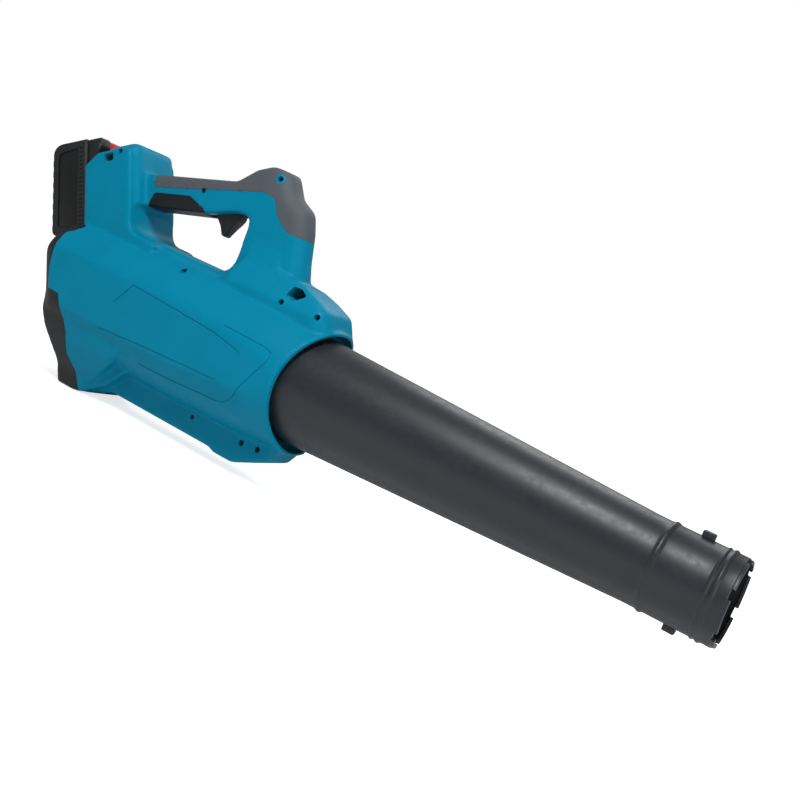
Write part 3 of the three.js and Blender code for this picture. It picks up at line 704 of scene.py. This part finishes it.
# The front edge rolls into the bore
roll = [(-MOUTH_WALL - 1, 0), (-MOUTH_WALL - 1, TUBE_BASE_R + GAP), (-8, TUBE_BASE_R + GAP)]
roll += [(-6, 62.7), (-3, 64.8), (0, 66.8), (4, 68), (12, 68.6), (FAR, 68.6), (FAR, 0)]
openings = turned("mouth_bore", roll)
join(openings, bar("duct_bore", DUCT_R + 3, (-FAR, -MOUTH_WALL + 1)))
join(openings, prism("cover_cut", COVER_SIDE, -FAR, FAR))
join(openings, strap_slots())
join(
    openings,
    [
        block("channel", (-5, RAIL_DEPTH), (-24, 24), (6, 200), lean=True),
        block("channel", (5.5, RAIL_DEPTH + 0.5), (-29, 29), (6, 200), lean=True),
        *(
            block("blade_slot", (11, 17.5), (y - 1.2, y + 1.2), (8, 26), lean=True)
            for y in BLADES_Y
        ),
        block("hood_notch", (-5, 22), (-36, 36), (TOWER_TOP - 8, 200), lean=True),
    ],
)
trigger_slot = block("trigger_slot", (-211, -160), (-9, 9), (112, 157))
join(openings, trigger_slot, keep=True)


def grip_skin(name, outline, depth, grow):
    """The part of the handle's skin inside a side outline."""
    reach = HANDLE_HALF_WIDTH + 1 + grow
    skin = within(copied(outside, name), prism("grip_region", outline, -reach, reach, -grow, 6))
    return cut(skin, [swell(copied(outside, "handle_core"), -depth), slab("tower", TOWER_SIDE, 44)])


# A ring of the casing shows round the front grip screw
ring_x, ring_z = SCREWS[4][:2]
for outline in (UPPER_GRIP_SIDE, LOWER_GRIP_SIDE):
    recess = grip_skin("grip_recess", outline, SKIN + GAP, GAP)
    cut(shell, cut(recess, rod("ring", FRONT_RING_R, (-60, 60), ring_x, ring_z)))


def ribbon(points, width):
    """The outline of a narrow band along a line of the side view."""
    line = [Vector(p) for p in points]
    near, away = [], []
    for i, p in enumerate(line):
        along = (line[min(i + 1, len(line) - 1)] - line[max(i - 1, 0)]).normalized()
        off = Vector((-along.y, along.x)) * width / 2
        near.append(tuple(p + off))
        away.append(tuple(p - off))
    return near + away[::-1]


# Styling lines cut a little way into both flanks
PANEL_EDGE = [(-84, 33), (-25, 31), (-16, 28), (-16, 18), (-35, -18)]
PANEL_EDGE += [(-41, -33), (-48, -40), (-60, -44), (-128, -48), (-177, -49)]
FLANK_LINES = (
    [(-215, 29), (-159, 26), (-91, 22), (-51, 15)],
    PANEL_EDGE,
    [(-242, -32), (-162, -27), (-67, -23)],
    [(-215, 29), (-233, 2)],
)
LINE_WIDTH = 1.0
LINE_DEPTH = 0.6
lines = [prism("line", ribbon(line, LINE_WIDTH), -FAR, FAR, 0, 1) for line in FLANK_LINES]
grooves = join(lines[0], lines[1:])
cut(shell, cut(grooves, swell(copied(outside, "groove_floor"), -LINE_DEPTH)))
cover = within(copied(shell, "rear_cover_panel"), prism("cover_region", COVER_SIDE, -FAR, FAR, GAP))
cut(shell, openings)

SIDES = (("right", (-FAR, -0.15)), ("left", (0.15, FAR)))
for side, reach in SIDES:
    half = within(
        copied(shell, "casing_" + side + "_shell"),
        gridded(block("half", (-FAR, FAR), reach, (-FAR, FAR))),
    )
    for x, z, width, r in SCREWS:
        if side == "right":
            cut(half, rod("screw_hole", r, (-width - 40, -width + SCREW_SINK + 4), x, z))
            cut(half, rod("shank_hole", SHANK_HOLE_R, (-width, 1), x, z, 16))
        else:
            cut(half, rod("shank_hole", SHANK_HOLE_R, (-1, width - 8), x, z, 16))
    finished(half, "blower", "teal_plastic", "casing_" + side)
remove(shell)

for level, outline in (("upper", UPPER_GRIP_SIDE), ("lower", LOWER_GRIP_SIDE)):
    skin = grip_skin("grip_skin", outline, SKIN, 0.0)
    cut(skin, trigger_slot, keep=True)
    cut(skin, rod("ring", FRONT_RING_R + GAP, (-60, 60), ring_x, ring_z))
    grip_x, grip_z, _, grip_r = SCREWS[3]
    cut(skin, rod("ring", grip_r, (-60, 60), grip_x, grip_z))
    for side, reach in SIDES:
        name = level + "_grip_" + side
        half_space = gridded(block("half", (-FAR, FAR), reach, (-FAR, FAR)))
        half = within(copied(skin, name + "_pad"), half_space)
        finished(half, "blower", "soft_grip", name)
        # The lower grip takes the darker copy of the grip rubber: painted shade.
        if level == "lower":
            half.data.materials[0] = SHADED_GRIP_RUBBER
    remove(skin)

gx, gz = WINDOW_AT
window = lean_back(bar("window", WINDOW_R, (gx - 20, gx + 20), 0, gz), WINDOW_AT)
finished(cut(cover, window), "blower", "black_plastic", "rear_cover")
for piece in (outside, inside, trigger_slot):
    remove(piece)


# Inlet grille in the rear window

grille = turned(
    "inlet_grille_guard",
    [
        (gx + 0.4, WINDOW_R - GAP),
        (gx + 0.4, WINDOW_R - 3.5),
        (gx + 3.6, WINDOW_R - 3.5),
        (gx + 3.6, WINDOW_R - GAP),
    ],
    96,
    (0, gz),
)
disc = bar("disc", WINDOW_R - 1, (gx + 0.4, gx + 3.8), 0, gz)
slats = []
for i in range(-4, 5):
    z = gz + i * 9.3
    slats.append(block("slat", (gx + 0.6, gx + 3), (-WINDOW_R, WINDOW_R), (z - 1.4, z + 1.4)))
for y in (-WINDOW_R / 2, 0, WINDOW_R / 2):
    slats.append(block("post", (gx + 0.6, gx + 3.6), (y - 1.4, y + 1.4), (gz - WINDOW_R, gz + WINDOW_R)))
join(grille, within(join(slats[0], slats[1:]), disc))
finished(ease(lean_back(grille, WINDOW_AT), 0.5, 2), "blower", "black_plastic", "inlet_grille")


# Air tube


def tube_radius(x):
    """The cone's outer radius at a distance from the mouth."""
    return TUBE_BASE_R + (TUBE_END_R - TUBE_BASE_R) * x / TUBE_CONE


def bead(x, height, width):
    """A raised ring on the collar, its flanks rounded."""
    return [
        (x + width * t, TUBE_END_R + height * math.cos(t * math.pi) ** 2)
        for t in (-0.5, -0.375, -0.25, -0.125, 0, 0.125, 0.25, 0.375, 0.5)
    ]


END = TUBE_CONE + TUBE_COLLAR
base_r = TUBE_BASE_R - 0.6
air_tube = turned(
    "air_tube_shell",
    [
        (-TUBE_TAIL, base_r),
        (-MOUTH_WALL - 7, base_r),
        (-MOUTH_WALL - 7, TUBE_BASE_R + 5),
        (-MOUTH_WALL - 0.5, TUBE_BASE_R + 5),
        (-MOUTH_WALL - 0.5, base_r),
        (0, tube_radius(0)),
        (TUBE_CONE - 4, tube_radius(TUBE_CONE - 4)),
        (TUBE_CONE + 4, TUBE_END_R),
        *bead(TUBE_CONE + 15, 1.6, 9),
        *bead(TUBE_CONE + 66, 1.2, 5),
        *bead(TUBE_CONE + 72, 1.6, 7),
        (END - 3.4, TUBE_END_R),
        (END - 2.6, TUBE_END_R - 0.9),
        (END - 0.6, TUBE_END_R - 0.9),
        (END, TUBE_END_R - 1.4),
        (END, TUBE_END_R - TUBE_WALL - 2),
        (END - 3, TUBE_END_R - TUBE_WALL - 2),
        (END - 4, TUBE_END_R - TUBE_WALL),
        (TUBE_CONE, tube_radius(TUBE_CONE) - TUBE_WALL),
        (0, tube_radius(0) - TUBE_WALL),
        (-TUBE_TAIL, tube_radius(0) - TUBE_WALL),
    ],
    192,
)
for turn in (1, -1):
    low, high = sorted((turn * (TUBE_END_R - 1), turn * (TUBE_END_R + 6)))
    pin = block("pin", (TUBE_CONE + 39, TUBE_CONE + 51), (-4.5, 4.5), (low, high), radius=1.5)
    join(air_tube, ease(pin, 0.9, 3))
for k in range(6):
    notch = block("notch", (END - 3.2, END + 2), (-5, 5), (TUBE_END_R - 8, TUBE_END_R + 4))
    only(notch)
    notch.matrix_world = (
        Matrix.Translation(place(0, 0, 0))
        @ Matrix.Rotation(math.radians(60 * k + 12), 4, "X")
        @ Matrix.Translation(-place(0, 0, 0))
    )
    bpy.ops.object.transform_apply(location=True, rotation=True, scale=True)
    cut(air_tube, notch)
finished(air_tube, "blower", "tube_plastic", "air_tube", angle=30)


# Battery pack


def pack_box(name, inset, depth):
    """The pack's box, set in all round, between two depths from the tower's face."""
    rear, face = depth
    top = PACK_LENGTH - inset
    outline = [(rear, inset, 9), (rear, top, 16), (face, top, 2), (face, inset, 2)]
    return slab(name, [leaning(p) for p in outline], PACK_WIDTH / 2 - inset, 0, 8)


pack = ease(pack_box("pack", 0, (-PACK_DEPTH, -SLIDE)), 5, 4, 60)
cut(pack, pack_box("pack_inside", PACK_WALL, (PACK_WALL - PACK_DEPTH, -SLIDE - PACK_WALL)))
lid_side = block("lid_side", (-PACK_LID + GAP, 50), (-FAR, FAR), (-50, 200), lean=True)
lid = within(copied(pack, "lid"), lid_side)
case_side = block("case_side", (-99, -PACK_LID - GAP), (-FAR, FAR), (-50, 200), lean=True)
case = within(pack, case_side)

# Sunk side panels with a darker plate in each, finger ribs down the rear edges, and a row of
# short grooves along the lid
PANEL = [(-PACK_DEPTH + 9, 10, 5), (-PACK_DEPTH + 9, 103, 9), (-14, 106, 4), (-14, 8, 4)]
panel_side = [leaning(p) for p in PANEL]
for side, label in ((-1, "right"), (1, "left")):
    y = sorted((side * (PACK_WIDTH / 2 - 1.6), side * (PACK_WIDTH / 2 + 5)))
    cut(case, prism("panel", panel_side, *y))
    y = sorted((side * (PACK_WIDTH / 2 - 1.6), side * (PACK_WIDTH / 2 - 0.9)))
    plate = ease(prism("pack_panel_" + label, panel_side, *y, 0.5), 0.3, 2, 60)
    finished(plate, "battery", "battery_plastic")
    plate.data.materials[0] = PANEL_BLACK
    for k in range(7):
        z = 17 + k * 13.5
        reach = sorted((side * 40, side * 24))
        cut(case, block("rib", (-PACK_DEPTH - 3, -PACK_DEPTH + 1.3), reach, (z - 4, z + 4), True, 1.8))
    for k in range(19):
        z = 9 + k * 5.3
        reach = sorted((side * (PACK_WIDTH / 2 - 0.7), side * (PACK_WIDTH / 2 + 5)))
        cut(case, block("groove", (-11.5, -6), reach, (z - 1, z + 1), True))
finished(case, "battery", "battery_plastic", "battery_case", angle=40)
case.name = "pack_case"

rails = join(
    block("rails", (-1, RAIL_DEPTH), (-RAIL_WEB, RAIL_WEB), (26, 98), True),
    block("flange", (RAIL_WEB_DEPTH, RAIL_DEPTH), (-RAIL_FLANGE, RAIL_FLANGE), (26, 82), True),
)
hood_side = [
    (-2, TOWER_TOP - 7),
    (RAIL_DEPTH - 2, TOWER_TOP - 7),
    (RAIL_DEPTH + 4, 97, 3),
    (RAIL_DEPTH + 9, 104, 3),
    (RAIL_DEPTH + 9, PACK_LENGTH, 6),
    (-2, PACK_LENGTH),
]
hood = ease(slab("hood", [leaning(p) for p in hood_side], 34.5), 3, 4, 50)
join(lid, [rails, hood])
cut(lid, [block("contact", (2.5, 9), (y - 1.6, y + 1.6), (25, 48), True) for y in BLADES_Y])
cut(lid, block("button_bay", (-0.9, 40), (-19.5, 19.5), (95, 125), True))
finished(lid, "battery", "battery_plastic", "battery_lid", angle=40)
lid.name = "pack_lid"

button_side = [(2.5, 101), (18.5, 101), (19.5, 112.5, 3), (12.5, 115.5, 3), (2.5, 115.5)]
button = ease(slab("release_bar", [leaning(p) for p in button_side], 19), 1.6, 4, 40)
finished(button, "battery_button", "red_plastic", "battery_button")


# Trigger

TRIGGER_SIDE = [
    (-203, 146),
    (-196, 136, 3),
    (-186, 126, 8),
    (-181, 116.5, 3),
    (-175.5, 115.5, 3),
    (-170.5, 129, 10),
    (-164.5, 141),
    (-164.5, 153),
    (-203, 153),
]
TRIGGER_HALF = [(4, 110), (6.5, 124), (8.5, 134), (8.5, 170)]  # it narrows towards its tip
TRIGGER_SECTION = [(-y, z) for y, z in TRIGGER_HALF] + TRIGGER_HALF[::-1]
trigger = slab("trigger_lever", TRIGGER_SIDE, 20, 0, 6)
within(trigger, beam("section", TRIGGER_SECTION, -300, 0))
ease(trigger, 1.0, 3, 50)
finished(trigger, "trigger", "black_plastic", "trigger")


# Screws, each as long as the casing is wide at its place, with a cross in its head

for i, (x, z, width, r) in enumerate(SCREWS):
    head = -width + SCREW_SINK + 4
    screw = rod("screw_%d_shank" % (i + 1), 1.7, (head - 0.5, width - 9), x, z, 20)
    cap = ease(rod("head", r - 0.5, (head - 2.6, head - GAP), x, z, 32), 0.5, 3)
    slots = [block("cross", (x - 1.7, x + 1.7), (head - 4, head - 1.5), (z - 0.4, z + 0.4))]
    slots.append(block("cross", (x - 0.4, x + 0.4), (head - 4, head - 1.5), (z - 1.7, z + 1.7)))
    cut(cap, slots)
    finished(join(screw, cap), "blower", "steel", "screw_%d" % (i + 1))


# Inner pieces keep their own shapes and take a finish

INNER = {
    "duct_plastic": ("fan_duct", "tail_cone", "fan", "fan_nose"),
    "steel": (
        "fan_nut",
        "motor_case",
        "motor_end_bell",
        "motor_rotor",
        "bearing_rear",
        "bearing_front",
        "motor_shaft",
        "button_spring",
        "trigger_spring",
    ),
    "copper": ("motor_stator", "battery_terminals"),
    "circuit_board": ("control_board", "battery_board"),
    "heat_sink_aluminium": ("board_heat_sink",),
    "black_plastic": ("switch_body",),
    "cell_wrap": tuple("cell_%d" % (i + 1) for i in range(10)),
}
for slot, names in INNER.items():
    for name in names:
        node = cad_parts[name]
        node.data.materials.clear()
        node.data.materials.append(FINISH[slot])


# Studio

bpy.ops.mesh.primitive_plane_add(size=120, location=(0, 2, -0.0005))
floor = bpy.context.object
floor.name = "floor"
paper = bpy.data.materials.new("studio_paper")
paper.use_nodes = True
sheet = paper.node_tree.nodes["Principled BSDF"]
sheet.inputs["Base Color"].default_value = (0.93, 0.93, 0.93, 1)
sheet.inputs["Roughness"].default_value = 0.9
sheet.inputs["Emission Color"].default_value = (1, 1, 1, 1)
floor.data.materials.append(paper)


def seen(tree, unseen_level, seen_level, socket):
    """Gives a strength one level for the light it sheds and another for how white it looks."""
    rays = tree.nodes.new("ShaderNodeLightPath")
    level = tree.nodes.new("ShaderNodeMapRange")
    level.inputs["To Min"].default_value = unseen_level
    level.inputs["To Max"].default_value = seen_level
    tree.links.new(rays.outputs["Is Camera Ray"], level.inputs["Value"])
    tree.links.new(level.outputs["Result"], socket)


world = bpy.data.worlds.new("studio")
world.use_nodes = True
sky = world.node_tree.nodes["Background"]
sky.inputs["Color"].default_value = (1, 1, 1, 1)
seen(world.node_tree, 0.34, 1.0, sky.inputs["Strength"])
seen(paper.node_tree, 0.0, 0.72, sheet.inputs["Emission Strength"])
bpy.context.scene.world = world


def lamp(name, location, size, power):
    """A soft box that faces the blower."""
    bpy.ops.object.light_add(type="AREA", location=location)
    light = bpy.context.object
    light.name = name
    light.data.size = size
    light.data.energy = power
    aim = Vector((-0.1, 0, 0.15)) - Vector(location)
    light.rotation_euler = aim.to_track_quat("-Z", "Y").to_euler()


# Place in metres, width in metres and power in watts
lamp("key", (0.1, -0.75, 1.35), 0.45, 17)
lamp("fill", (1.5, -0.5, 0.5), 0.8, 5)
lamp("rim", (-0.2, 1.2, 1.2), 0.8, 6)

CAMERA_PLACE = Vector((0.5713, -1.0321, 0.2810))
CAMERA_AHEAD = Vector((-0.45146, 0.8911, -0.04617)).normalized()
CAMERA_RIGHT = Vector((0.8152, 0.43294, 0.38473))  # roughly, as it is squared to the view below
bpy.ops.object.camera_add(location=CAMERA_PLACE)
camera = bpy.context.object
right = (CAMERA_RIGHT - CAMERA_RIGHT.dot(CAMERA_AHEAD) * CAMERA_AHEAD).normalized()
up = right.cross(CAMERA_AHEAD)
camera.rotation_euler = Matrix((right, up, -CAMERA_AHEAD)).transposed().to_euler()
camera.data.lens = 49.5
camera.data.shift_y = -0.1
camera.data.clip_end = 50
bpy.context.scene.camera = camera
bpy.context.scene.view_settings.view_transform = "Standard"
